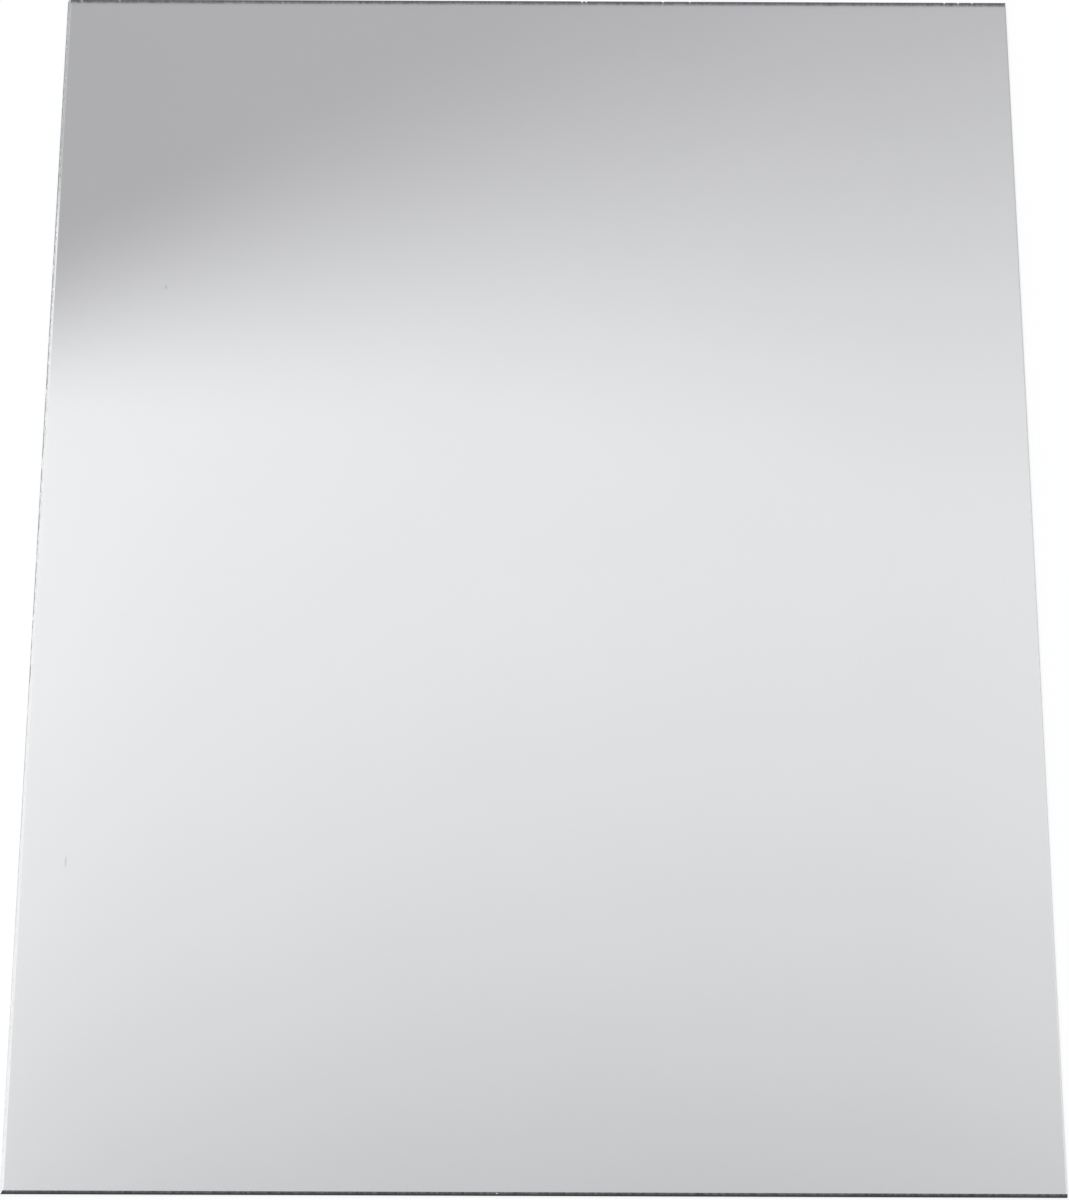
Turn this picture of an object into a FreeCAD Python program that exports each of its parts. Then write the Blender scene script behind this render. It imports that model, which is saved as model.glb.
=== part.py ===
import FreeCAD, Part
import os
import Sketcher

# Plastic mirror sheet: one flat sheet of clear polystyrene, silvered and lacquered on its underside.
# It lies on its lacquered back with the mirror face up. All sizes are in millimetres.
# The origin is the middle of the back. X runs across the sheet and Y along its length.
# The two short edges and the right edge are cut clean and square. The left edge is the one that was
# scored and snapped: from the back its wall leans inwards, steep at first and flatter near the face.

SIZES = {
    "sheet_width": 210.0,      # over the back, from the left edge to the right
    "sheet_length": 295.0,     # along Y
    "sheet_thickness": 1.1,    # back to mirror face
    "wall_run": 0.33,          # how far the steep wall of the snapped edge leans in
    "lip_run": 0.40,           # how far the flatter lip above it leans in
    "lip_depth": 0.35,         # how far below the mirror face the lip starts
    "arris": 0.10,             # the corner taken off the clean cuts at the mirror face
}


def write_sizes(doc):
    """Put the driving dimensions in the document's spreadsheet, one named cell each."""
    sheet = doc.addObject("Spreadsheet::Sheet", "sizes")
    for row, (name, value) in enumerate(SIZES.items(), start=1):
        sheet.set(f"A{row}", name)
        sheet.set(f"B{row}", str(value))
        sheet.setAlias(f"B{row}", name)
    doc.recompute()
    return sheet


def origin_plane(body, role):
    """The body's own origin plane with this role, such as XZ_Plane."""
    for feature in body.Origin.OriginFeatures:
        if feature.Role == role:
            return feature
    raise ValueError(f"no origin plane {role}")


def bind(sketch, kind, first, second, name):
    """Add a distance from one point of the sketch to another, driven by the cell of that name."""
    index = sketch.addConstraint(Sketcher.Constraint(kind, *first, *second, SIZES[name]))
    sketch.renameConstraint(index, f"{name}_{kind}")
    sketch.setExpression(f"Constraints.{name}_{kind}", f"sizes.{name}")


def draw_section(body):
    """The section across the width, seen from the near short edge, mirror face at the top."""
    sketch = body.newObject("Sketcher::SketchObject", "section")
    sketch.AttachmentSupport = [(origin_plane(body, "XZ_Plane"), "")]
    sketch.MapMode = "FlatFace"

    half = SIZES["sheet_width"] / 2
    top = SIZES["sheet_thickness"]
    lip_foot = SIZES["wall_run"] - half
    corners = [
        (-half, 0),
        (half, 0),
        (half, top),
        (lip_foot + SIZES["lip_run"], top),
        (lip_foot, top - SIZES["lip_depth"]),
    ]
    points = [FreeCAD.Vector(x, height, 0) for x, height in corners]
    sides = [
        sketch.addGeometry(Part.LineSegment(start, end))
        for start, end in zip(points, points[1:] + points[:1])
    ]
    back, right_cut, face, lip, wall = sides

    start_of, end_of = 1, 2
    sketch_origin = (-1, 1)
    for side, following in zip(sides, sides[1:] + sides[:1]):
        sketch.addConstraint(Sketcher.Constraint("Coincident", side, end_of, following, start_of))
    sketch.addConstraint(Sketcher.Constraint("Horizontal", back))
    sketch.addConstraint(Sketcher.Constraint("Vertical", right_cut))
    sketch.addConstraint(Sketcher.Constraint("Horizontal", face))
    sketch.addConstraint(
        Sketcher.Constraint("Symmetric", back, start_of, back, end_of, *sketch_origin)
    )
    bind(sketch, "DistanceX", (back, start_of), (back, end_of), "sheet_width")
    bind(sketch, "DistanceY", (right_cut, start_of), (right_cut, end_of), "sheet_thickness")
    bind(sketch, "DistanceX", (wall, end_of), (wall, start_of), "wall_run")
    bind(sketch, "DistanceX", (lip, end_of), (lip, start_of), "lip_run")
    bind(sketch, "DistanceY", (lip, end_of), (lip, start_of), "lip_depth")
    return sketch


def extrude_sheet(body, sketch):
    """The section drawn out to the sheet's length, as much to each side of the origin."""
    pad = body.newObject("PartDesign::Pad", "sheet")
    pad.Profile = sketch
    pad.SideType = "Symmetric"
    pad.setExpression("Length", "sizes.sheet_length")
    return pad


def clean_front_edges(shape):
    """Names of the mirror face's edges that were cut clean: the near, far and right ones."""
    mirror_face = max(shape.Faces, key=lambda face: face.CenterOfMass.z)
    snapped_edge = min(mirror_face.Edges, key=lambda edge: edge.CenterOfMass.x)
    names = []
    for number, edge in enumerate(shape.Edges, start=1):
        on_the_face = any(edge.isSame(other) for other in mirror_face.Edges)
        if on_the_face and not edge.isSame(snapped_edge):
            names.append(f"Edge{number}")
    return names


def break_arrises(body, pad):
    """A hair of a chamfer on the clean cuts, where the blade entered the mirror face."""
    chamfer = body.newObject("PartDesign::Chamfer", "arrises")
    chamfer.Base = (pad, clean_front_edges(pad.Shape))
    chamfer.setExpression("Size", "sizes.arris")
    return chamfer


def make_mirror_sheet(doc):
    """The whole object: one solid."""
    body = doc.addObject("PartDesign::Body", "mirror_sheet")
    body.Label = "mirror_sheet"
    sketch = draw_section(body)
    pad = extrude_sheet(body, sketch)
    doc.recompute()
    body.Tip = break_arrises(body, pad)
    doc.recompute()
    body.Placement = FreeCAD.Placement()
    return body


def check(doc, subparts):
    """Stop if anything in the document failed, or if a sub-part is not one sound solid."""
    for item in doc.Objects:
        if "Invalid" in item.State or "Error" in item.State:
            raise RuntimeError(f"{item.Name} failed: {item.State}")
    for subpart in subparts:
        shape = subpart.Shape
        if shape.isNull() or not shape.isValid() or len(shape.Solids) != 1:
            raise RuntimeError(f"{subpart.Label} is not one sound solid")


def write_parts(subparts):
    """One STEP file for each sub-part, named by its label."""
    os.makedirs("parts", exist_ok=True)
    for subpart in subparts:
        subpart.Shape.exportStep(f"parts/{subpart.Label}.step")
        box = subpart.Shape.BoundBox
        print(f"{subpart.Label}: {box.XLength:.2f} x {box.YLength:.2f} x {box.ZLength:.2f} mm")
        print(f"  {len(subpart.Shape.Faces)} faces, {subpart.Shape.Volume / 1000:.3f} cm3")


doc = FreeCAD.newDocument("plastic_mirror_sheet")
write_sizes(doc)
subparts = [make_mirror_sheet(doc)]
doc.recompute()
check(doc, subparts)
write_parts(subparts)
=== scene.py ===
# %% [markdown]
# # A plastic mirror sheet
# A craft mirror is one thin sheet of clear polystyrene. Its underside is silvered and then sprayed
# with a grey lacquer, so the mirror is seen through the full thickness of the plastic. This lesson
# dresses a finished construction model of the sheet: it builds the clear plastic with its cut and
# snapped edges, the silver and the lacquer, and a plain studio for the mirror to reflect.

# %% Load the fixed model
import math
import random

import bmesh
import bpy
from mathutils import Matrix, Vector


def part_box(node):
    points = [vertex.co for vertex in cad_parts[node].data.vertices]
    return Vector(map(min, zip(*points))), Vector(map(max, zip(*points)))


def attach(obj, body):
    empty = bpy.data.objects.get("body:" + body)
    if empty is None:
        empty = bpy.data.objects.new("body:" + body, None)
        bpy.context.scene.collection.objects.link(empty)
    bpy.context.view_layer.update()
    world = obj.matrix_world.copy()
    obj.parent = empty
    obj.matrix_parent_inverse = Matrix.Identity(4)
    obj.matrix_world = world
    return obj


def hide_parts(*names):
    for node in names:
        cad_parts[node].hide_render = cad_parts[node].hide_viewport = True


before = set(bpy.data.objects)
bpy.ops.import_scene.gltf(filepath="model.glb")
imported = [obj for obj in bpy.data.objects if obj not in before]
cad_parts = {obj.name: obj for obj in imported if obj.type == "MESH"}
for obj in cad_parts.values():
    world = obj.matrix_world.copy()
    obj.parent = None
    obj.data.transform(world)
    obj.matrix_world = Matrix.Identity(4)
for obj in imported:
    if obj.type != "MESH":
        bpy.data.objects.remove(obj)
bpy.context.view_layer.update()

print("nodes:", sorted(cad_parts))

# %% [markdown]
# ## Sizes
# Blender works in metres and the sheet is a millimetre thick, so every small size below is a number
# of millimetres times `MM`. The outer sizes come from the construction model, so that the pieces
# made here can't drift away from it. The wall and the lip are the two faces of the snapped edge.

# %% Sizes of the sheet
MM = 0.001
sheet_low, sheet_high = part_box("mirror_sheet")
LEFT, NEAR = sheet_low.x, sheet_low.y
RIGHT, FAR = sheet_high.x, sheet_high.y
THICKNESS = sheet_high.z - sheet_low.z

WALL_RUN = 0.33 * MM
LIP_RUN = 0.24 * MM
LIP_DEPTH = 0.35 * MM
LIP_FOOT = THICKNESS - LIP_DEPTH
ARRIS = 0.10 * MM
LACQUER = 0.045 * MM
SILVER_HEIGHT = 0.050 * MM
TOUCH = 0.0001 * MM          # a cut takes points nearer than this as lying on it

print(f"sheet {(RIGHT - LEFT) / MM:.1f} x {(FAR - NEAR) / MM:.1f} x {THICKNESS / MM:.2f} mm")

# %% [markdown]
# ## The camera
# The sheet fills the photograph and its long edges close in only a little towards the top, which
# means a long lens from more than a metre away. The camera looks down at 58 degrees. Its place was
# worked out from the four corners and the real size of the sheet.

# %% Camera
CAMERA_PLACE = (-0.00230, -0.63213, 1.00701)
CAMERA_TURN = (31.7215, -0.2037, 0.1291)
LENS = 169.51

bpy.ops.object.select_all(action="DESELECT")
bpy.ops.object.camera_add(
    location=CAMERA_PLACE,
    rotation=[math.radians(angle) for angle in CAMERA_TURN],
)
camera = bpy.context.object
camera.name = "camera"
camera.data.lens = LENS
camera.data.sensor_width = 36
camera.data.clip_start = 0.05
camera.data.clip_end = 50
bpy.context.scene.camera = camera
print(f"camera {camera.location.length:.3f} m from the sheet, lens {LENS} mm")

# %% [markdown]
# ## Nodes and colours
# Colours are written as sRGB hex values, the way a paint chart gives them, and one function turns
# them to the linear light that shaders work in. Another small function adds a node with its
# settings and its links, so that a material reads from top to bottom like a recipe. Inputs that
# share a name are given by number: a Mix node for colours has its factor in input 0 and its two
# colours in inputs 6 and 7, and the mixed one is its output 2.

# %% Helpers for materials
def linear(hex_colour):
    """An sRGB hex colour as linear red, green, blue and alpha."""
    channels = [int(hex_colour[i:i + 2], 16) / 255 for i in (1, 3, 5)]
    return [c / 12.92 if c <= 0.04045 else ((c + 0.055) / 1.055) ** 2.4 for c in channels] + [1]


def add_node(tree, kind, settings=None, links=None):
    """Add a node, set its properties and sockets, and link its inputs.

    The source of a link is a socket, or a node that stands for its own first output.
    """
    node = tree.nodes.new(kind)
    for name, value in (settings or {}).items():
        if isinstance(name, int) or name in node.inputs:
            node.inputs[name].default_value = value
        else:
            setattr(node, name, value)
    for name, source in (links or {}).items():
        if isinstance(source, bpy.types.Node):
            source = source.outputs[0]
        tree.links.new(source, node.inputs[name])
    return node


def new_material(name):
    """An empty material with its output node."""
    material = bpy.data.materials.new(name)
    material.use_nodes = True
    tree = material.node_tree
    tree.nodes.clear()
    return material, tree, tree.nodes.new("ShaderNodeOutputMaterial")


# %% [markdown]
# ## The studio: floor
# The sheet lies on a plain white floor. The floor is partly lit and partly its own white for rays
# that look at it directly or in a reflection, so that it renders as clean white paper and still
# keeps the soft shadow of the sheet. Two faces in one plane can't be told apart, so the floor lies
# two hundredths of a millimetre above the back of the sheet, inside the coat of lacquer.

# %% Floor
FLOOR_SIZE = 12.0
FLOOR_HEIGHT = 0.02 * MM
FLOOR_OWN_WHITE = 0.75
FLOOR_GLOW = 1.02


def seen_directly(tree):
    """A node that gives 1 for camera, glossy and transmission rays, and 0 for the rest."""
    path = add_node(tree, "ShaderNodeLightPath")
    either = add_node(tree, "ShaderNodeMath", {"operation": "MAXIMUM"},
                      {0: path.outputs["Is Camera Ray"], 1: path.outputs["Is Glossy Ray"]})
    return add_node(tree, "ShaderNodeMath", {"operation": "MAXIMUM"},
                    {0: either, 1: path.outputs["Is Transmission Ray"]})


bpy.ops.object.select_all(action="DESELECT")
bpy.ops.mesh.primitive_plane_add(size=FLOOR_SIZE, location=(0, 0, FLOOR_HEIGHT))
floor = bpy.context.object
floor.name = "studio_floor"
floor_material, tree, output = new_material("white_paper_floor")
paper = add_node(tree, "ShaderNodeBsdfDiffuse", {"Color": linear("#f6f6f6")})
white = add_node(tree, "ShaderNodeEmission", {"Color": linear("#ffffff"), "Strength": FLOOR_GLOW})
share = add_node(tree, "ShaderNodeMath", {"operation": "MULTIPLY", 1: FLOOR_OWN_WHITE},
                 {0: seen_directly(tree)})
mixed = add_node(tree, "ShaderNodeMixShader", None, {0: share, 1: paper, 2: white})
tree.links.new(mixed.outputs[0], output.inputs["Surface"])
floor.data.materials.append(floor_material)
print("floor", floor.dimensions[:])

# %% [markdown]
# ## The studio: what the mirror sees
# A mirror has no look of its own: it shows the room. Here the room is a large tent of white cloth,
# lit so that it is brightest a little above the middle of its slope, falls off gently above that,
# and has one soft shadow low down that is sharp on the left and very wide on the right. Nearer to
# the floor and to the top the cloth hangs in wide slanting folds, which the mirror shows when it is
# seen from other sides. The tent is a dome that only reflections and refractions see, so it never
# hides the sheet from the camera. For the shadow and the cloth, each pair of numbers below is the
# value at the left of the mirror's view and the one at its right.

# %% Tent
TENT_RADIUS = 3.0
TENT_HALF_VIEW = 0.1290      # how far to each side the mirror's view reaches, over the radius
SHADOW_END = (55.35, 57.54)  # the angle above the floor at which the shadow ends, in degrees
SHADOW_WIDTH = (2.36, 10.9)  # how many degrees the shadow takes to fade
SHADOW_GREY = (0.514, 0.544)
CLOTH_GREY = (1.113, 0.926)
CLOTH_BEND = 0.344           # the cloth dims fastest near the left
FALLOFF_START = 55.5         # above this angle the cloth dims with the square of the angle
FALLOFF_SPAN = 9.0           # over this many degrees
FALLOFF = 0.185              # by this much
FALLOFF_LIMIT = 1.25         # and from this many spans on no further
RIGHT_RISE_FROM = 0.84       # in the last sixth on the right the cloth brightens again
RIGHT_RISE = 0.020           # by this much
HORIZON_RISE = (40.0, 12.0)  # between these angles the tent passes into the plain white below
FOLD_SLANT = (35.0, 0.0, 40.0)
FOLD_SIZE = (0.11, 0.40, 0.28)
FOLD_NOISE = (0.30, 0.62)    # the noise in the middle of a fold and between two folds
FOLD_SHADE = (0.72, 1.08)    # the cloth's brightness in the folds and between them
FOLDS_BELOW = (50.0, 44.0)   # the folds begin below the first angle and are full at the second
FOLDS_ABOVE = (67.0, 76.0)

bpy.ops.object.select_all(action="DESELECT")
bpy.ops.mesh.primitive_uv_sphere_add(segments=96, ring_count=48, radius=TENT_RADIUS)
tent = bpy.context.object
tent.name = "studio_tent"
tent_material, tree, output = new_material("lit_tent_cloth")
place = add_node(tree, "ShaderNodeTexCoord")
direction = add_node(tree, "ShaderNodeVectorMath", {"operation": "NORMALIZE"},
                     {0: place.outputs["Object"]})
parts = add_node(tree, "ShaderNodeSeparateXYZ", None, {0: direction})
slope = add_node(tree, "ShaderNodeMath", {"operation": "ARCSINE"}, {0: parts.outputs["Z"]})
height = add_node(tree, "ShaderNodeMath", {"operation": "DEGREES"}, {0: slope})
side = add_node(tree, "ShaderNodeMapRange", {"From Min": -TENT_HALF_VIEW, "From Max": TENT_HALF_VIEW},
                {"Value": parts.outputs["X"]})
bent_side = add_node(tree, "ShaderNodeMath", {"operation": "POWER", 1: CLOTH_BEND}, {0: side})
shadow_end, shadow_width, shade, cloth = (
    add_node(tree, "ShaderNodeMapRange", {"To Min": pair[0], "To Max": pair[1]}, {"Value": along})
    for pair, along in ((SHADOW_END, side), (SHADOW_WIDTH, side), (SHADOW_GREY, side),
                        (CLOTH_GREY, bent_side))
)
shadow_start = add_node(tree, "ShaderNodeMath", {"operation": "SUBTRACT"},
                        {0: shadow_end, 1: shadow_width})
lit = add_node(tree, "ShaderNodeMapRange", {"interpolation_type": "SMOOTHSTEP"},
               {"Value": height, "From Min": shadow_start, "From Max": shadow_end})
step = add_node(tree, "ShaderNodeMapRange", None, {"Value": lit, "To Min": shade, "To Max": cloth})
above = add_node(tree, "ShaderNodeMapRange",
                 {"From Min": FALLOFF_START,
                  "From Max": FALLOFF_START + FALLOFF_SPAN * FALLOFF_LIMIT,
                  "To Max": FALLOFF_LIMIT}, {"Value": height})
squared = add_node(tree, "ShaderNodeMath", {"operation": "MULTIPLY"}, {0: above, 1: above})
dimming = add_node(tree, "ShaderNodeMath", {"operation": "MULTIPLY_ADD", 1: -FALLOFF, 2: 1.0},
                   {0: squared})
dimmed = add_node(tree, "ShaderNodeMath", {"operation": "MULTIPLY"}, {0: step, 1: dimming})
right_end = add_node(tree, "ShaderNodeMapRange",
                     {"interpolation_type": "SMOOTHSTEP",
                      "From Min": RIGHT_RISE_FROM, "To Min": 1.0, "To Max": 1.0 + RIGHT_RISE},
                     {"Value": side})
brightness = add_node(tree, "ShaderNodeMath", {"operation": "MULTIPLY"}, {0: dimmed, 1: right_end})
low_down = add_node(tree, "ShaderNodeMapRange",
                    {"interpolation_type": "SMOOTHSTEP",
                     "From Min": HORIZON_RISE[0], "From Max": HORIZON_RISE[1]},
                    {"Value": height})
with_horizon = add_node(tree, "ShaderNodeMapRange", {"To Max": 1.0},
                        {"Value": low_down, "To Min": brightness})
slanted = add_node(tree, "ShaderNodeMapping",
                   {"Rotation": [math.radians(angle) for angle in FOLD_SLANT]}, {"Vector": direction})
stretched = add_node(tree, "ShaderNodeMapping", {"Scale": [1 / size for size in FOLD_SIZE]},
                     {"Vector": slanted})
drape = add_node(tree, "ShaderNodeTexNoise", {"Scale": 1.0, "Detail": 0.0}, {"Vector": stretched})
fold_shade = add_node(tree, "ShaderNodeMapRange",
                      {"interpolation_type": "SMOOTHSTEP",
                       "From Min": FOLD_NOISE[0], "From Max": FOLD_NOISE[1],
                       "To Min": FOLD_SHADE[0], "To Max": FOLD_SHADE[1]}, {"Value": drape})
below, above = (
    add_node(tree, "ShaderNodeMapRange",
             {"interpolation_type": "SMOOTHSTEP", "From Min": ends[0], "From Max": ends[1]},
             {"Value": height})
    for ends in (FOLDS_BELOW, FOLDS_ABOVE)
)
folded = add_node(tree, "ShaderNodeMath", {"operation": "MAXIMUM"}, {0: below, 1: above})
folds = add_node(tree, "ShaderNodeMapRange", {"To Min": 1.0},
                 {"Value": folded, "To Max": fold_shade})
draped = add_node(tree, "ShaderNodeMath", {"operation": "MULTIPLY"}, {0: with_horizon, 1: folds})
tint = add_node(tree, "ShaderNodeMix",
                {"data_type": "RGBA", 6: linear("#fbfafd"), 7: linear("#f9fafc")}, {0: lit})
glow = add_node(tree, "ShaderNodeEmission", None, {"Color": tint.outputs[2], "Strength": draped})
tree.links.new(glow.outputs[0], output.inputs["Surface"])
tent_material.cycles.emission_sampling = "NONE"  # reflections find the tent without it
tent.data.materials.append(tent_material)
tent.visible_camera = False
tent.visible_diffuse = False
tent.visible_shadow = False
print("tent radius", TENT_RADIUS)

# %% [markdown]
# ## The studio: light
# The world gives an even light from all round, and one wide soft lamp high above and a little to the
# left gives the edges a lit side and a shaded side. Together they light a surface at about the
# colour it is written in. Rays that look at the world directly see plain white.

# %% World and lamp
WORLD_LIGHT = 0.62
LAMP_PLACE = (-1.3, 0.9, 4.6)
LAMP_SIZE = 2.0
LAMP_POWER = 105

world = bpy.data.worlds.new("studio_light")
bpy.context.scene.world = world
world.use_nodes = True
tree = world.node_tree
tree.nodes.clear()
ambient = add_node(tree, "ShaderNodeBackground",
                   {"Color": linear("#fbfcff"), "Strength": WORLD_LIGHT})
backdrop = add_node(tree, "ShaderNodeBackground", {"Color": linear("#ffffff"), "Strength": 1.0})
mixed = add_node(tree, "ShaderNodeMixShader", None,
                 {0: seen_directly(tree), 1: ambient, 2: backdrop})
add_node(tree, "ShaderNodeOutputWorld", None, {"Surface": mixed})

bpy.ops.object.select_all(action="DESELECT")
bpy.ops.object.light_add(type="AREA", location=LAMP_PLACE)
lamp = bpy.context.object
lamp.name = "soft_lamp"
lamp.data.shape = "DISK"
lamp.data.size = LAMP_SIZE
lamp.data.energy = LAMP_POWER
lamp.rotation_euler = lamp.location.to_track_quat("Z", "Y").to_euler()
bpy.context.scene.view_settings.view_transform = "Standard"
print("lamp", lamp.data.energy, "W")

# %% [markdown]
# ## The blank
# The real sheet starts as a flat blank with square walls. A cube of the sheet's size is the blank.
# It is cut across at the height where the lip of the snapped edge starts, and the upper corners on
# that side are pushed in, first the whole upper part by the wall's run and then the face by the
# lip's run. Vertices are picked by their place, as one would box-select them.

# %% Helpers for modelling
def take(piece):
    """Make one piece the only selected one and the active one."""
    bpy.ops.object.select_all(action="DESELECT")
    piece.select_set(True)
    bpy.context.view_layer.objects.active = piece


def begin_edit(piece, action="DESELECT"):
    """Go into edit mode on one piece with nothing selected, or with all of it."""
    take(piece)
    bpy.ops.object.mode_set(mode="EDIT")
    bpy.ops.mesh.select_all(action=action)


def end_edit():
    """Leave edit mode."""
    bpy.ops.object.mode_set(mode="OBJECT")


def pick(piece, elements, inside):
    """Select the vertices, edges or faces whose middle passes the test, and count them."""
    bpy.ops.mesh.select_all(action="DESELECT")
    bpy.context.tool_settings.mesh_select_mode = [
        elements == kind for kind in ("verts", "edges", "faces")
    ]
    work = bmesh.from_edit_mesh(piece.data)
    count = 0
    for element in getattr(work, elements):
        if elements == "verts":
            wanted = inside(element.co)
        elif elements == "edges":
            wanted = inside((element.verts[0].co + element.verts[1].co) / 2)
        else:
            wanted = inside(element.calc_center_bounds())
        element.select_set(wanted)
        count += wanted
    work.select_flush_mode()
    bmesh.update_edit_mesh(piece.data)
    return count


def near(first, second):
    """True if two places are the same, to a thousandth of a millimetre."""
    return abs(first - second) < 0.001 * MM


# %% Model the blank and lean its snapped edge
bpy.ops.object.select_all(action="DESELECT")
bpy.ops.mesh.primitive_cube_add(
    size=1, location=(0, 0, THICKNESS / 2), scale=(RIGHT - LEFT, FAR - NEAR, THICKNESS)
)
clear_sheet = bpy.context.object
clear_sheet.name = "clear_sheet"
bpy.ops.object.transform_apply(location=True, rotation=True, scale=True)

begin_edit(clear_sheet, "SELECT")
bpy.ops.mesh.bisect(plane_co=(0, 0, LIP_FOOT), plane_no=(0, 0, 1), threshold=TOUCH)
moved = pick(clear_sheet, "verts", lambda p: near(p.x, LEFT) and p.z > LIP_FOOT / 2)
bpy.ops.transform.translate(value=(WALL_RUN, 0, 0))
pick(clear_sheet, "verts", lambda p: near(p.x, LEFT + WALL_RUN) and near(p.z, THICKNESS))
bpy.ops.transform.translate(value=(LIP_RUN, 0, 0))
end_edit()
print("leaned", moved, "corners of the snapped edge")

# %% [markdown]
# ## The lacquered back
# The lacquer is a coat a few hundredths of a millimetre thick. It is split off the same blank, so
# that it has exactly the same outline: a copy keeps only what lies under the coat's height, and the
# clear sheet keeps what lies above the silver.

# %% Split off the lacquer coat
take(clear_sheet)
bpy.ops.object.duplicate()
back_lacquer = bpy.context.object
back_lacquer.name = "back_lacquer"

begin_edit(back_lacquer, "SELECT")
bpy.ops.mesh.bisect(plane_co=(0, 0, LACQUER), plane_no=(0, 0, 1), threshold=TOUCH,
                    use_fill=True, clear_outer=True)
end_edit()

begin_edit(clear_sheet, "SELECT")
bpy.ops.mesh.bisect(plane_co=(0, 0, SILVER_HEIGHT), plane_no=(0, 0, 1), threshold=TOUCH,
                    use_fill=True, clear_inner=True)
end_edit()
print("clear sheet", len(clear_sheet.data.polygons), "faces, lacquer",
      len(back_lacquer.data.polygons), "faces")

# %% [markdown]
# ## Rounded cuts
# A guillotine blade drags the face down a little before the plastic parts, so the two short edges
# have a corner rounded over a third of a millimetre. The sawn right edge keeps a sharper one. A bevel
# in edit mode makes both, with one more segment where the rounding shows.

# %% Bevel the clean cuts
ROLLED_CORNER = 0.33 * MM

begin_edit(clear_sheet)
rolled = pick(clear_sheet, "edges", lambda p: near(p.z, THICKNESS) and abs(p.x) < RIGHT / 2)
bpy.ops.mesh.bevel(offset=ROLLED_CORNER, segments=3, profile=0.5, affect="EDGES")
sharp = pick(clear_sheet, "edges", lambda p: near(p.z, THICKNESS) and near(p.x, RIGHT))
bpy.ops.mesh.bevel(offset=ARRIS, segments=2, profile=0.6, affect="EDGES")
end_edit()
print("bevelled", rolled, "guillotined edges and", sharp, "sawn one")

# %% [markdown]
# ## The snapped edge
# The left edge was scored with a knife and snapped. The score leaves a fairly even sloping lip, and
# under it the plastic broke in small uneven steps. The two faces of that edge are cut into rows and
# then into half-millimetre lengths, and four Displace modifiers push the rows in and out: a slow
# one for the hand that led the knife, and finer ones for the score, the steps and the foot. They
# move points sideways only, so that the mirror face and the silver stay flat. The foot of the break
# moves inwards only, and only in the farther part: there the lacquer didn't break as cleanly as the
# plastic, and shows as a thin grey line outside the foot.

# %% Cut the snapped edge into short lengths
BREAK_ROWS = [SILVER_HEIGHT, 0.28 * MM, 0.52 * MM, LIP_FOOT, 0.93 * MM, THICKNESS]
LONG_CUTS = 9                # first into 10 lengths
SHORT_CUTS = 58              # then each of those into 59
EDGE_BAND = LEFT + 1.5 * MM  # everything left of this belongs to the snapped edge
FRINGE_FAR = 0.20 * MM       # how far inside the lacquer's rim the foot is at the far end
CLEAN_FOOT_TO = -30 * MM     # from the near end to here the foot keeps to its line


def edge_rows(place):
    """True on one of the rows of the snapped edge."""
    return place.x < EDGE_BAND and any(near(place.z, row) for row in BREAK_ROWS)


begin_edit(clear_sheet)
for row in BREAK_ROWS[1:-1]:
    pick(clear_sheet, "faces", lambda p: p.x < EDGE_BAND)
    bpy.ops.mesh.bisect(plane_co=(0, 0, row), plane_no=(0, 0, 1), threshold=TOUCH)
pick(clear_sheet, "verts",
     lambda p: p.x < EDGE_BAND and near(p.z, SILVER_HEIGHT) and near(p.y, FAR))
bpy.ops.transform.translate(value=(FRINGE_FAR, 0, 0))
pick(clear_sheet, "edges", edge_rows)
bpy.ops.mesh.subdivide(number_cuts=LONG_CUTS)
pick(clear_sheet, "edges", edge_rows)
bpy.ops.mesh.subdivide(number_cuts=SHORT_CUTS)
end_edit()
print("snapped edge:", len(clear_sheet.data.polygons), "faces")

# %% Push its rows in and out
FROM_THE_END = NEAR - MM
WAVES = (
    # rows, where they start, size of the features, how far they reach, the level that stays
    ("led_by_hand", BREAK_ROWS[4:], FROM_THE_END, 9.0 * MM, 0.25 * MM, 0.5),
    ("score_marks", BREAK_ROWS[4:], FROM_THE_END, 0.9 * MM, 0.10 * MM, 0.5),
    ("broken_steps", BREAK_ROWS[1:4], FROM_THE_END, 1.3 * MM, 0.40 * MM, 0.35),
    ("broken_foot", BREAK_ROWS[:1], CLEAN_FOOT_TO, 1.9 * MM, 0.22 * MM, 0.0),
)
for name, rows, start, size, reach, level in WAVES:
    group = clear_sheet.vertex_groups.new(name=name)
    moving = [v.index for v in clear_sheet.data.vertices
              if v.co.x < EDGE_BAND and v.co.y > start and any(near(v.co.z, row) for row in rows)]
    group.add(moving, 1.0, "REPLACE")
    texture = bpy.data.textures.new(name, "CLOUDS")
    texture.noise_scale = size
    texture.noise_depth = 2
    take(clear_sheet)
    bpy.ops.object.modifier_add(type="DISPLACE")
    push = clear_sheet.modifiers[-1]
    push.texture = texture
    push.texture_coords = "LOCAL"
    push.direction = "X"
    push.vertex_group = name
    push.strength = reach
    push.mid_level = level
    bpy.ops.object.modifier_apply(modifier=push.name)
rows_now = [v.co.x for v in clear_sheet.data.vertices if v.co.x < EDGE_BAND]
print(f"edge reaches from {(min(rows_now) - LEFT) / MM:.3f} to {(max(rows_now) - LEFT) / MM:.3f} mm")

# %% [markdown]
# ## Whitened strips
# Breaking and sawing both craze the face beside them: a strip a tenth or two of a millimetre wide
# along the left and the right edge is milky instead of clear. The mirror face is bisected along the
# inner side of each strip, a little askew, because no such strip is even.

# %% Mark off the whitened strips
LEFT_STRIP = (0.68 * MM, 0.74 * MM)     # where its inner side is at the near end and at the far end
RIGHT_STRIP = (0.18 * MM, 0.12 * MM)

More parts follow.
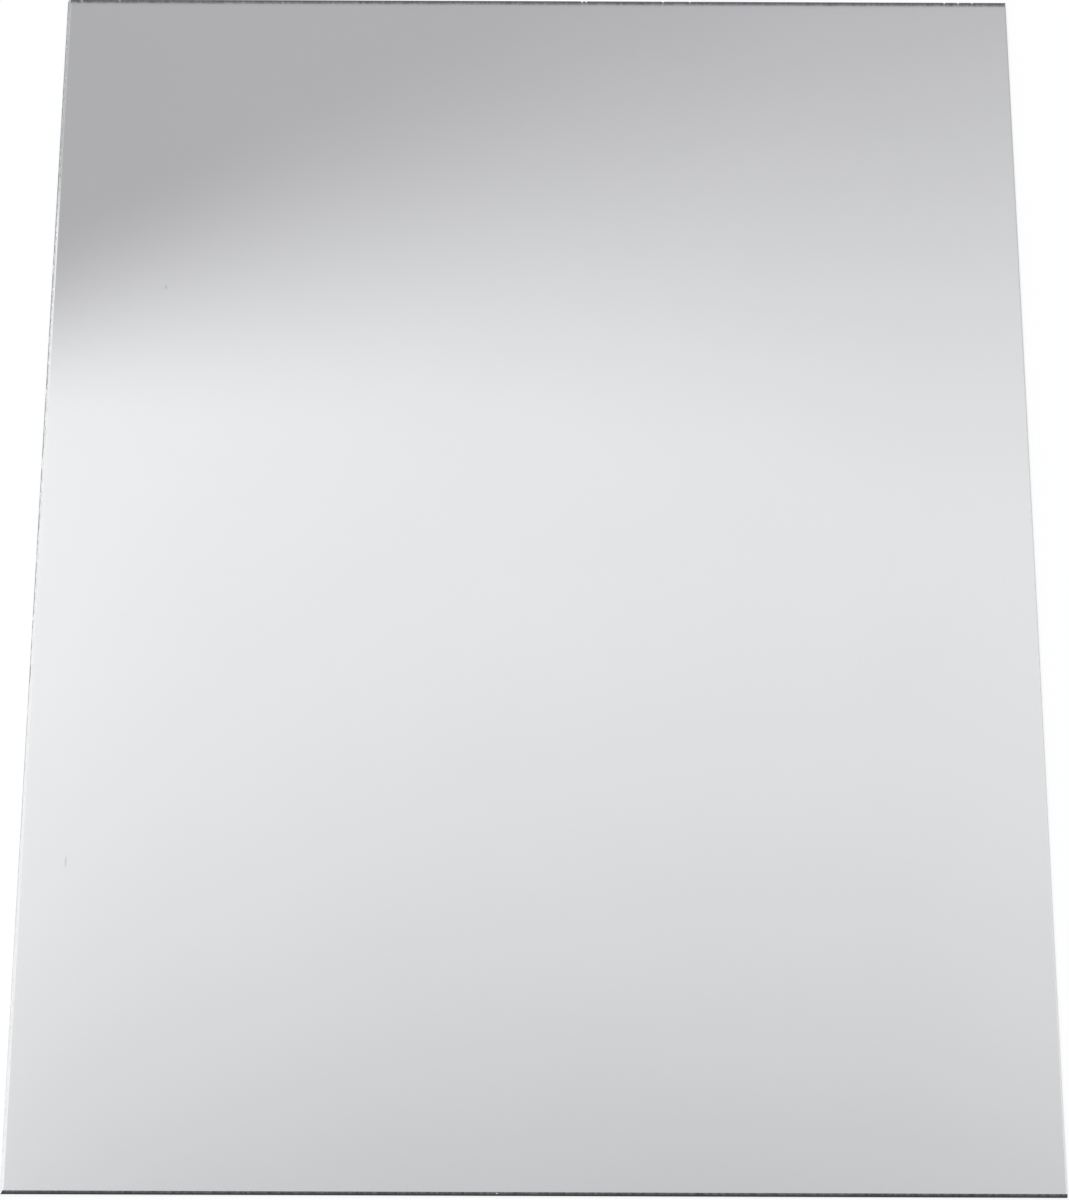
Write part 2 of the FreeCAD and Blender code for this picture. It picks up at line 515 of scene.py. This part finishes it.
begin_edit(clear_sheet)
for edge, inwards, (near_width, far_width) in ((LEFT, 1, LEFT_STRIP), (RIGHT, -1, RIGHT_STRIP)):
    pick(clear_sheet, "faces", lambda p: near(p.z, THICKNESS))
    bpy.ops.mesh.bisect(plane_co=(edge + inwards * far_width, FAR, 0), threshold=TOUCH,
                        plane_no=(FAR - NEAR, inwards * (near_width - far_width), 0))
end_edit()
flat_parts = sum(near(face.center.z, THICKNESS) for face in clear_sheet.data.polygons)
print("mirror face in", flat_parts, "parts")

# %% [markdown]
# ## Clear polystyrene
# Extruded polystyrene sheet is water-clear and very glossy, with an index of refraction of 1.59. The
# rollers leave it almost flat: faint waves run along its length, and they are what makes a plastic
# mirror less perfect than a glass one. Handling adds hairline scratches too fine to see from where
# the camera stands, except as a slight loss of gloss.

# %% Clear polystyrene: flat, glossy, with faint roller waves and hairlines
WAVE_ACROSS = 22 * MM
WAVE_ALONG = 160 * MM
WAVE_HEIGHT = 0.0006 * MM
HAIRLINE_LENGTH = 30 * MM
HAIRLINE_WIDTH = 0.25 * MM
HAIRLINE_TURNS = (24, -37)   # two sets of them cross, at these angles

clear_plastic, tree, output = new_material("clear_polystyrene")
place = add_node(tree, "ShaderNodeTexCoord")
long_place = add_node(tree, "ShaderNodeMapping", {"Scale": (1 / WAVE_ACROSS, 1 / WAVE_ALONG, 1)},
                      {"Vector": place.outputs["Object"]})
waves = add_node(tree, "ShaderNodeTexNoise", {"Scale": 1.0, "Detail": 1.0}, {"Vector": long_place})
hairlines = []
for turn in HAIRLINE_TURNS:
    turned = add_node(tree, "ShaderNodeMapping",
                      {"Rotation": (0, 0, math.radians(turn)), "Scale": (1 / MM, 1 / MM, 1)},
                      {"Vector": place.outputs["Object"]})
    drawn_out = add_node(tree, "ShaderNodeMapping",
                         {"Scale": (MM / HAIRLINE_WIDTH, MM / HAIRLINE_LENGTH, 1)},
                         {"Vector": turned})
    streaks = add_node(tree, "ShaderNodeTexNoise", {"Scale": 1.0, "Detail": 0.0},
                       {"Vector": drawn_out})
    hairlines.append(add_node(tree, "ShaderNodeMapRange",
                              {"From Min": 0.74, "From Max": 0.82}, {"Value": streaks}))
scratched = add_node(tree, "ShaderNodeMath", {"operation": "MAXIMUM"},
                     {0: hairlines[0], 1: hairlines[1]})
gloss_loss = add_node(tree, "ShaderNodeMapRange", {"To Min": 0.0, "To Max": 0.07},
                      {"Value": scratched})
roller_waves = add_node(tree, "ShaderNodeBump", {"Strength": 1.0, "Distance": WAVE_HEIGHT},
                        {"Height": waves})
glass = add_node(tree, "ShaderNodeBsdfPrincipled",
                 {"Base Color": linear("#fefefe"), "IOR": 1.59, "Transmission Weight": 1.0},
                 {"Roughness": gloss_loss, "Normal": roller_waves})
tree.links.new(glass.outputs[0], output.inputs["Surface"])
print("made", clear_plastic.name)

# %% [markdown]
# ## Silver film
# The mirror itself is a film of aluminium far thinner than a micron, laid on the back of the plastic
# in a vacuum. Seen through the plastic it is a bright neutral metal. It is a little uneven from
# place to place, and two small scuffs dull it near the left edge. Over the last millimetre along the
# far cut it is painted darker in patches: painted shade along the far edge.

# %% Silver film: vacuum-coated aluminium, nearly even, with two scuffs and painted shade at the far end
CLOUD_SIZE = 45 * MM
SCUFFS = (
    # middle and half size, in millimetres
    (-80.2, 69.4, 0.30, 0.55),
    (-95.4, -72.9, 0.25, 1.40),
)
# between these two places the film is painted darker, as shade along the far edge
FAR_SHADE_FROM = FAR - 1.25 * MM
FAR_SHADE_FULL = FAR - 0.25 * MM
FAR_SHADE_PATCH = 2.5 * MM

silver, tree, output = new_material("vacuum_coated_aluminium")
place = add_node(tree, "ShaderNodeTexCoord")
flat_place = add_node(tree, "ShaderNodeVectorMath", {"operation": "MULTIPLY", 1: (1, 1, 0)},
                      {0: place.outputs["Object"]})
clouds = add_node(tree, "ShaderNodeTexNoise", {"Scale": 1 / CLOUD_SIZE, "Detail": 2.0},
                  {"Vector": flat_place})
film = add_node(tree, "ShaderNodeMix",
                {"data_type": "RGBA", 6: linear("#edeeee"), 7: linear("#f1f1f1")}, {0: clouds})
scuffed = None
for x, y, half_width, half_length in SCUFFS:
    centred = add_node(tree, "ShaderNodeMapping",
                       {"Location": (-x / half_width, -y / half_length, 0),
                        "Scale": (1 / (half_width * MM), 1 / (half_length * MM), 1)},
                       {"Vector": flat_place})
    away = add_node(tree, "ShaderNodeVectorMath", {"operation": "LENGTH"}, {0: centred})
    scuff = add_node(tree, "ShaderNodeMapRange",
                     {"interpolation_type": "SMOOTHSTEP",
                      "From Min": 0.4, "From Max": 1.3, "To Min": 0.22, "To Max": 0.0},
                     {"Value": away.outputs["Value"]})
    if scuffed:
        scuff = add_node(tree, "ShaderNodeMath", {"operation": "MAXIMUM"}, {0: scuffed, 1: scuff})
    scuffed = scuff
parts = add_node(tree, "ShaderNodeSeparateXYZ", None, {0: flat_place})
# Painted shade: the film darkens in patches towards the far cut, mixed with the scuffs below.
towards_cut = add_node(tree, "ShaderNodeMapRange",
                       {"interpolation_type": "SMOOTHSTEP",
                        "From Min": FAR_SHADE_FROM, "From Max": FAR_SHADE_FULL},
                       {"Value": parts.outputs["Y"]})
patches = add_node(tree, "ShaderNodeTexNoise", {"Scale": 1 / FAR_SHADE_PATCH, "Detail": 2.0},
                   {"Vector": flat_place})
far_shade_breakup = add_node(tree, "ShaderNodeMapRange",
                    {"From Min": 0.3, "From Max": 0.7, "To Min": 0.35, "To Max": 0.65},
                    {"Value": patches})
far_edge_shade = add_node(tree, "ShaderNodeMath", {"operation": "MULTIPLY"}, {0: towards_cut, 1: far_shade_breakup})
scuffs_and_far_shade = add_node(tree, "ShaderNodeMath", {"operation": "MAXIMUM"}, {0: scuffed, 1: far_edge_shade})
scuffed_and_shaded_film = add_node(tree, "ShaderNodeMix", {"data_type": "RGBA", 7: linear("#8d9194")},
                  {0: scuffs_and_far_shade, 6: film.outputs[2]})
haze = add_node(tree, "ShaderNodeMapRange", {"To Min": 0.01, "To Max": 0.03}, {"Value": clouds})
metal = add_node(tree, "ShaderNodeBsdfPrincipled", {"Metallic": 1.0},
                 {"Base Color": scuffed_and_shaded_film.outputs[2], "Roughness": haze})
tree.links.new(metal.outputs[0], output.inputs["Surface"])
print("made", silver.name)

# %% [markdown]
# ## Edges seen from inside
# Every edge of the sheet is seen twice: from outside, and from inside, through the clear face and in
# the silver. Cut and broken plastic is frosted, so its inner side isn't lit by what is inside the
# sheet but by the daylight that falls on the edge and passes through. The Backfacing output tells
# the inner side from the outer one, and a Translucent shader there lets that light through.

# %% A helper for the two sides of an edge
def show_edge(tree, output, outer, inner_colour):
    """Show the shader on the outer side of an edge, and let daylight through to its inner side."""
    side = add_node(tree, "ShaderNodeNewGeometry")
    passed_light = add_node(tree, "ShaderNodeBsdfTranslucent", None, {"Color": inner_colour})
    both = add_node(tree, "ShaderNodeMixShader", None,
                    {0: side.outputs["Backfacing"], 1: outer, 2: passed_light})
    tree.links.new(both.outputs[0], output.inputs["Surface"])


# %% [markdown]
# ## Guillotined edges
# The short edges were cut on a guillotine. The blade drags fine lines straight down the cut. Such a
# cut on a silvered sheet looks dark, because light that enters it is trapped between the face and
# the silver, and it is darkest at the bottom. That shade is painted into the colour: it runs from
# grey at the face to nearly black at the back, broken by the drag lines. The inner side of the far
# cut shows as a soft dark line along the far edge, twice over: once directly and once in the silver.
# It is lighter than the outer side, and its painted shade changes less with height.

# %% Guillotined polystyrene: dark with painted shade, satin, with vertical drag lines
DRAG_WIDTH = 0.45 * MM
DRAG_LENGTH = 3.0 * MM
DRAG_DEPTH = 0.012 * MM

cut_edge, tree, output = new_material("guillotined_polystyrene")
place = add_node(tree, "ShaderNodeTexCoord")
parts = add_node(tree, "ShaderNodeSeparateXYZ", None, {0: place.outputs["Object"]})
level = add_node(tree, "ShaderNodeMapRange", {"From Max": THICKNESS}, {"Value": parts.outputs["Z"]})
along = add_node(tree, "ShaderNodeMapRange", {"From Min": NEAR, "From Max": FAR},
                 {"Value": parts.outputs["Y"]})
# painted shade: the cut is nearly black at the back and lightest at the face
upper = add_node(tree, "ShaderNodeMath", {"operation": "POWER", 1: 2.0}, {0: level})
at_face = add_node(tree, "ShaderNodeMix",
                   {"data_type": "RGBA", 6: linear("#606162"), 7: linear("#3a3b3c")}, {0: along})
shaded_tone = add_node(tree, "ShaderNodeMix", {"data_type": "RGBA", 6: linear("#020202")},
                {0: upper, 7: at_face.outputs[2]})
# the inner side carries a milder painted shade, darker towards the back
inner_tone = add_node(tree, "ShaderNodeMix",
                      {"data_type": "RGBA", 6: linear("#6e6f70"), 7: linear("#9a9c9d")}, {0: level})
stretched = add_node(tree, "ShaderNodeMapping",
                     {"Scale": (1 / DRAG_WIDTH, 1 / DRAG_WIDTH, 1 / DRAG_LENGTH)},
                     {"Vector": place.outputs["Object"]})
drag = add_node(tree, "ShaderNodeTexNoise", {"Scale": 1.0, "Detail": 3.0}, {"Vector": stretched})
uneven = add_node(tree, "ShaderNodeMapRange",
                  {"From Min": 0.3, "From Max": 0.7, "To Min": 0.4, "To Max": 1.6},
                  {"Value": drag})
colour = add_node(tree, "ShaderNodeVectorMath", {"operation": "SCALE"},
                  {0: shaded_tone.outputs[2], "Scale": uneven})
inner_uneven = add_node(tree, "ShaderNodeMapRange",
                        {"From Min": 0.3, "From Max": 0.7, "To Min": 0.6, "To Max": 1.4},
                        {"Value": drag})
inner_colour = add_node(tree, "ShaderNodeVectorMath", {"operation": "SCALE"},
                        {0: inner_tone.outputs[2], "Scale": inner_uneven})
lines = add_node(tree, "ShaderNodeBump", {"Strength": 0.6, "Distance": DRAG_DEPTH},
                 {"Height": drag})
satin = add_node(tree, "ShaderNodeMapRange", {"To Min": 0.35, "To Max": 0.6}, {"Value": drag})
cut = add_node(tree, "ShaderNodeBsdfPrincipled", {"IOR": 1.59, "Specular IOR Level": 0.12},
               {"Base Color": colour, "Roughness": satin, "Normal": lines})
show_edge(tree, output, cut, inner_colour)
print("made", cut_edge.name)

# %% [markdown]
# ## The sawn side
# The right edge is square as well, but it was sawn. Saw teeth leave the plastic frosted, and a
# frosted wall passes light on instead of trapping it, so this edge is pale. It is greyer at the far
# end, where less of the light reaches it.

# %% Sawn polystyrene: frosted and pale
TOOTH = 0.8 * MM
TOOTH_DEPTH = 0.02 * MM

sawn_edge, tree, output = new_material("sawn_polystyrene")
place = add_node(tree, "ShaderNodeTexCoord")
parts = add_node(tree, "ShaderNodeSeparateXYZ", None, {0: place.outputs["Object"]})
along = add_node(tree, "ShaderNodeMapRange", {"From Min": NEAR, "From Max": FAR},
                 {"Value": parts.outputs["Y"]})
end_tone = add_node(tree, "ShaderNodeMix",
                    {"data_type": "RGBA", 6: linear("#dbdddd"), 7: linear("#a4a6a7")}, {0: along})
teeth = add_node(tree, "ShaderNodeTexNoise", {"Scale": 1 / TOOTH, "Detail": 4.0},
                 {"Vector": place.outputs["Object"]})
bite_tone = add_node(tree, "ShaderNodeMapRange",
                     {"From Min": 0.35, "From Max": 0.65, "To Min": 0.0, "To Max": 0.2},
                     {"Value": teeth})
colour = add_node(tree, "ShaderNodeMix", {"data_type": "RGBA", 7: linear("#c6c8c9")},
                  {0: bite_tone, 6: end_tone.outputs[2]})
beyond_middle = add_node(tree, "ShaderNodeMapRange", {"From Max": FAR},
                         {"Value": parts.outputs["Y"]})
inner_tone = add_node(tree, "ShaderNodeMix",
                      {"data_type": "RGBA", 6: linear("#ecedec"), 7: linear("#b2b4b4")},
                      {0: beyond_middle})
rough = add_node(tree, "ShaderNodeBump", {"Strength": 0.5, "Distance": TOOTH_DEPTH},
                 {"Height": teeth})
frosted = add_node(tree, "ShaderNodeBsdfPrincipled", {"Roughness": 0.55, "IOR": 1.59},
                   {"Base Color": colour.outputs[2], "Normal": rough})
show_edge(tree, output, frosted, inner_tone.outputs[2])
print("made", sawn_edge.name)

# %% [markdown]
# ## The break
# Polystyrene turns white where it is strained, so a snapped edge is mottled: whitened streaks lie
# beside clear ones that look grey, each a fraction of a millimetre wide. Both are painted greyer
# towards the far end as shade, most in the last fifth. Its facets are small, glossy and sparkle.

# %% Snapped polystyrene: mottled white and grey
STREAK_LENGTH = 0.8 * MM
STREAK_HEIGHT = 0.35 * MM
FACET_DEPTH = 0.03 * MM
# The three places below set the painted shade of the break towards the far end.
CLEAR_SHADE_FROM = -20 * MM      # from here on the clear streaks look greyer
SHADE_BEGINS_AT = 82 * MM        # up to here the white streaks are white
FULL_SHADE_FROM = 104 * MM       # and from here on they are grey

snapped_edge, tree, output = new_material("snapped_polystyrene")
place = add_node(tree, "ShaderNodeTexCoord")
parts = add_node(tree, "ShaderNodeSeparateXYZ", None, {0: place.outputs["Object"]})
along = add_node(tree, "ShaderNodeMapRange",
                 {"interpolation_type": "SMOOTHSTEP",
                  "From Min": SHADE_BEGINS_AT, "From Max": FULL_SHADE_FROM},
                 {"Value": parts.outputs["Y"]})
clear_streak_shade = add_node(tree, "ShaderNodeMapRange", {"From Min": CLEAR_SHADE_FROM, "From Max": FULL_SHADE_FROM},
                    {"Value": parts.outputs["Y"]})
# painted shade: both kinds of streak turn grey towards the far end
whitened_and_shaded = add_node(tree, "ShaderNodeMix",
                    {"data_type": "RGBA", 6: linear("#fafbfa"), 7: linear("#c6c8c9")}, {0: along})
clear_and_shaded = add_node(tree, "ShaderNodeMix",
                  {"data_type": "RGBA", 6: linear("#e6e8e8"), 7: linear("#94979a")}, {0: clear_streak_shade})
stretched = add_node(tree, "ShaderNodeMapping",
                     {"Scale": (1 / STREAK_HEIGHT, 1 / STREAK_LENGTH, 1 / STREAK_HEIGHT)},
                     {"Vector": place.outputs["Object"]})
streaks = add_node(tree, "ShaderNodeTexNoise", {"Scale": 1.0, "Detail": 3.0}, {"Vector": stretched})
mottling = add_node(tree, "ShaderNodeMapRange", {"From Min": 0.42, "From Max": 0.60},
                    {"Value": streaks})
colour = add_node(tree, "ShaderNodeMix", {"data_type": "RGBA"},
                  {0: mottling, 6: clear_and_shaded.outputs[2], 7: whitened_and_shaded.outputs[2]})
facets = add_node(tree, "ShaderNodeBump", {"Strength": 0.6, "Distance": FACET_DEPTH},
                  {"Height": streaks})
gloss = add_node(tree, "ShaderNodeMapRange", {"To Min": 0.18, "To Max": 0.5}, {"Value": streaks})
# the inner side carries the same painted shade towards the far end
inner_tone = add_node(tree, "ShaderNodeMix",
                      {"data_type": "RGBA", 6: linear("#f4f5f5"), 7: linear("#c8cacb")}, {0: along})
snap = add_node(tree, "ShaderNodeBsdfPrincipled", {"IOR": 1.59},
                {"Base Color": colour.outputs[2], "Roughness": gloss, "Normal": facets})
show_edge(tree, output, snap, inner_tone.outputs[2])
print("made", snapped_edge.name)

# %% [markdown]
# ## The whitened strip
# Beside the break the face is crazed: countless cracks too fine to see scatter the light, and the
# plastic looks milky but keeps its gloss. It is painted grey as shade at the same place as the break.

# %% Stress-whitened polystyrene: milky and glossy
CRAZE_PATCH = 0.9 * MM

crazed_face, tree, output = new_material("stress_whitened_polystyrene")
place = add_node(tree, "ShaderNodeTexCoord")
parts = add_node(tree, "ShaderNodeSeparateXYZ", None, {0: place.outputs["Object"]})
along = add_node(tree, "ShaderNodeMapRange",
                 {"interpolation_type": "SMOOTHSTEP",
                  "From Min": SHADE_BEGINS_AT, "From Max": FULL_SHADE_FROM},
                 {"Value": parts.outputs["Y"]})
# painted shade: the milky colour turns grey towards the far end
milky_and_shaded = add_node(tree, "ShaderNodeMix",
                 {"data_type": "RGBA", 6: linear("#f0f1f0"), 7: linear("#a9abad")}, {0: along})
patches = add_node(tree, "ShaderNodeTexNoise", {"Scale": 1 / CRAZE_PATCH, "Detail": 3.0},
                   {"Vector": place.outputs["Object"]})
clearer = add_node(tree, "ShaderNodeMapRange",
                   {"From Min": 0.4, "From Max": 0.7, "To Min": 0.0, "To Max": 0.4},
                   {"Value": patches})
colour = add_node(tree, "ShaderNodeMix", {"data_type": "RGBA", 7: linear("#c4c7c8")},
                  {0: clearer, 6: milky_and_shaded.outputs[2]})
# the inner side carries the same painted shade towards the far end
inner_tone = add_node(tree, "ShaderNodeMix",
                      {"data_type": "RGBA", 6: linear("#fafafa"), 7: linear("#ced0d1")}, {0: along})
gloss = add_node(tree, "ShaderNodeMapRange", {"To Min": 0.15, "To Max": 0.4}, {"Value": patches})
milk = add_node(tree, "ShaderNodeBsdfPrincipled", {"IOR": 1.59},
                {"Base Color": colour.outputs[2], "Roughness": gloss})
show_edge(tree, output, milk, inner_tone.outputs[2])
print("made", crazed_face.name)

# %% [markdown]
# ## Fresh chips
# Where a flake has jumped out of an edge, the plastic shows a small shell-shaped hollow. It is bright
# and glossy, with fine ripples round the place where the flake started. Like the rest of the break it
# is whiter towards the near end.

# %% Chipped polystyrene: bright, glossy, rippled
RIPPLE = 0.12 * MM
RIPPLE_DEPTH = 0.02 * MM

chipped, tree, output = new_material("chipped_polystyrene")
place = add_node(tree, "ShaderNodeTexCoord")
parts = add_node(tree, "ShaderNodeSeparateXYZ", None, {0: place.outputs["Object"]})
along = add_node(tree, "ShaderNodeMapRange", {"From Min": NEAR, "From Max": FAR},
                 {"Value": parts.outputs["Y"]})
crest = add_node(tree, "ShaderNodeMix",
                 {"data_type": "RGBA", 6: linear("#f4f5f5"), 7: linear("#d2d4d5")}, {0: along})
trough = add_node(tree, "ShaderNodeMix",
                  {"data_type": "RGBA", 6: linear("#dcdede"), 7: linear("#b2b4b5")}, {0: along})
ripples = add_node(tree, "ShaderNodeTexNoise", {"Scale": 1 / RIPPLE, "Detail": 2.0},
                   {"Vector": place.outputs["Object"]})
colour = add_node(tree, "ShaderNodeMix", {"data_type": "RGBA"},
                  {0: ripples, 6: trough.outputs[2], 7: crest.outputs[2]})
shell = add_node(tree, "ShaderNodeBump", {"Strength": 0.5, "Distance": RIPPLE_DEPTH},
                 {"Height": ripples})
chip = add_node(tree, "ShaderNodeBsdfPrincipled", {"Roughness": 0.22, "IOR": 1.59},
                {"Base Color": colour.outputs[2], "Normal": shell})
show_edge(tree, output, chip, colour.outputs[2])
print("made", chipped.name)

# %% [markdown]
# ## Grey lacquer
# The silver is protected by a grey lacquer, sprayed on and left to dry. Spraying leaves a shallow
# orange-peel relief about a millimetre from crest to crest, a satin gloss, and slow clouds where the
# passes of the gun overlapped.

# %% Grey lacquer: sprayed, satin, with orange peel
PEEL = 1.1 * MM
PEEL_DEPTH = 0.010 * MM
SPRAY_CLOUD = 38 * MM
DROPLET = 0.25 * MM

lacquer, tree, output = new_material("sprayed_grey_lacquer")
place = add_node(tree, "ShaderNodeTexCoord")
clouds = add_node(tree, "ShaderNodeTexNoise", {"Scale": 1 / SPRAY_CLOUD, "Detail": 2.0},
                  {"Vector": place.outputs["Object"]})
droplets = add_node(tree, "ShaderNodeTexNoise", {"Scale": 1 / DROPLET, "Detail": 1.0},
                    {"Vector": place.outputs["Object"]})
base = add_node(tree, "ShaderNodeMix",
                {"data_type": "RGBA", 6: linear("#85898c"), 7: linear("#95999b")}, {0: clouds})
fleck = add_node(tree, "ShaderNodeMapRange",
                 {"From Min": 0.45, "From Max": 0.75, "To Min": 0.0, "To Max": 0.35},
                 {"Value": droplets})
colour = add_node(tree, "ShaderNodeMix", {"data_type": "RGBA", 7: linear("#a6aaac")},
                  {0: fleck, 6: base.outputs[2]})
peel = add_node(tree, "ShaderNodeTexNoise", {"Scale": 1 / PEEL, "Detail": 1.5},
                {"Vector": place.outputs["Object"]})
relief = add_node(tree, "ShaderNodeBump", {"Strength": 0.8, "Distance": PEEL_DEPTH},
                  {"Height": peel})
satin = add_node(tree, "ShaderNodeMapRange", {"To Min": 0.36, "To Max": 0.52}, {"Value": clouds})
coat = add_node(tree, "ShaderNodeBsdfPrincipled", None,
                {"Base Color": colour.outputs[2], "Roughness": satin, "Normal": relief})
tree.links.new(coat.outputs[0], output.inputs["Surface"])
print("made", lacquer.name)

# %% [markdown]
# ## A finish for each face
# The faces are told apart by the way they look and by their place: the silvered face looks down, the
# mirror face up, and what lies within a millimetre or so of the left and the right edge belongs to
# the break and to the sawn side. The guillotined walls and their rounded corners are what is left,
# and the blade went through the lacquer as well. A face's normal tells which way it looks: a part
# near 1 means straight along that axis.

# %% Give each face its finish
FLAT = 0.99
STRAIGHT = 0.95
ROUNDED_RIGHT = 0.3          # the rounding of the sawn edge looks at least this much to the right

FINISHES = [clear_plastic, silver, cut_edge, sawn_edge, snapped_edge, crazed_face, chipped]
for finish in FINISHES:
    clear_sheet.data.materials.append(finish)
for face in clear_sheet.data.polygons:
    across, along, up = face.normal
    if up < -STRAIGHT:
        finish = silver
    elif face.center.x < EDGE_BAND and up > FLAT:
        finish = crazed_face
    elif face.center.x < EDGE_BAND and abs(along) < STRAIGHT:
        finish = snapped_edge
    elif face.center.x > RIGHT - MM or across > ROUNDED_RIGHT:
        finish = sawn_edge
    elif up > FLAT:
        finish = clear_plastic
    else:
        finish = cut_edge
    face.material_index = FINISHES.index(finish)
back_lacquer.data.materials.append(lacquer)
back_lacquer.data.materials.append(cut_edge)
for face in back_lacquer.data.polygons:
    face.material_index = int(abs(face.normal.y) > STRAIGHT)
for finish in FINISHES:
    count = sum(face.material_index == FINISHES.index(finish) for face in clear_sheet.data.polygons)
    print(finish.name, count, "faces")

# %% [markdown]
# ## Chips in the edges
# Polystyrene is brittle. The near and the far edge have lost a few small flakes, and the snapped
# edge many, most of them in its far half. One pebble with an uneven skin is modelled and copied to
# each place, turned and sized a little differently each time, and a Boolean takes all the pebbles out
# of the sheet at once. The new hollows take the pebble's own finish. The sizes of the flakes below
# are in millimetres.

# %% Model one pebble and copy it along the edges
FAR_FLAKES = (
    # place along the far edge and half width
    (-101.9, 0.36), (-93.4, 0.20), (10.2, 0.34), (11.1, 0.30), (28.3, 0.26), (34.3, 0.18),
    (91.3, 0.28), (94.4, 0.26), (97.5, 0.18),
)
FAR_FLAKE = (0.36, 0.85)         # how far they reach inwards and down
SNAPPED_FLAKES = 26
SNAPPED_FLAKE = (0.09, 0.17)     # smallest and largest half width
SNAPPED_STRETCH = (1.4, 3.0)     # they are this many times as long as they are wide
SNAPPED_DEPTH = 0.15             # the deepest one starts this far under the face
MOST_FLAKES_AT = 65 * MM
END_MARGIN = 6 * MM
NEAR_FLAKES = 5
NEAR_FLAKE = (0.12, 0.20)
NEAR_STRETCH = 1.4
NEAR_SHARE = 0.95                # of the near edge, the corners are left out
FLAKE_TURN = 0.35                # radians
SKIN = 0.12 * MM                 # how uneven the pebble is
random.seed(29)

bpy.ops.object.select_all(action="DESELECT")
bpy.ops.mesh.primitive_ico_sphere_add(subdivisions=2, radius=MM)
pebble = bpy.context.object
begin_edit(pebble, "SELECT")
bpy.ops.transform.vertex_random(offset=SKIN, seed=4)
end_edit()
pebble.data.materials.append(chipped)

places = [((x * MM, FAR, THICKNESS), (half, *FAR_FLAKE)) for x, half in FAR_FLAKES]
for _ in range(SNAPPED_FLAKES):
    y = random.triangular(NEAR + END_MARGIN, FAR - END_MARGIN, MOST_FLAKES_AT)
    lip_edge = LEFT + WALL_RUN + random.uniform(0.5, 1.0) * LIP_RUN
    size = random.uniform(*SNAPPED_FLAKE)
    places.append(((lip_edge, y, THICKNESS - random.uniform(0.0, SNAPPED_DEPTH) * MM),
                   (size, size * random.uniform(*SNAPPED_STRETCH), size)))
for _ in range(NEAR_FLAKES):
    size = random.uniform(*NEAR_FLAKE)
    x = random.uniform(NEAR_SHARE * LEFT, NEAR_SHARE * RIGHT)
    places.append(((x, NEAR, THICKNESS), (size * NEAR_STRETCH, size, size)))

pebbles = []
for place, size in places:
    take(pebble)
    bpy.ops.object.duplicate()
    copy = bpy.context.object
    copy.location = place
    copy.rotation_euler = (0, 0, random.uniform(-FLAKE_TURN, FLAKE_TURN))
    copy.scale = size
    pebbles.append(copy)
bpy.data.objects.remove(pebble)
bpy.ops.object.select_all(action="DESELECT")
for copy in pebbles:
    copy.select_set(True)
bpy.context.view_layer.objects.active = pebbles[0]
bpy.ops.object.join()
bites = bpy.context.object
bpy.ops.object.transform_apply(location=True, rotation=True, scale=True)
print(len(places), "pebbles")

# %% Take the flakes out
take(clear_sheet)
bpy.ops.object.modifier_add(type="BOOLEAN")
knock_out = clear_sheet.modifiers[-1]
knock_out.operation = "DIFFERENCE"
knock_out.solver = "EXACT"
knock_out.use_self = True
knock_out.material_mode = "TRANSFER"
knock_out.object = bites
bpy.ops.object.modifier_apply(modifier=knock_out.name)
bpy.data.objects.remove(bites)
hollows = sum(face.material_index == FINISHES.index(chipped) for face in clear_sheet.data.polygons)
print(clear_sheet.name, len(clear_sheet.data.polygons), "faces,", hollows, "of them in the hollows")

# %% [markdown]
# ## Attaching
# Both pieces stand for the one sheet of the construction model and ride with it.

# %% Check that the meshes are closed, attach the pieces and hide the construction part
for piece in (clear_sheet, back_lacquer):
    solid = bmesh.new()
    solid.from_mesh(piece.data)
    open_edges = sum(len(edge.link_faces) != 2 for edge in solid.edges)
    print(piece.name, "volume", round(solid.calc_volume() * 1e6, 3), "cm3, open edges", open_edges)
    solid.free()
    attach(piece, "root")
    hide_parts("mirror_sheet")
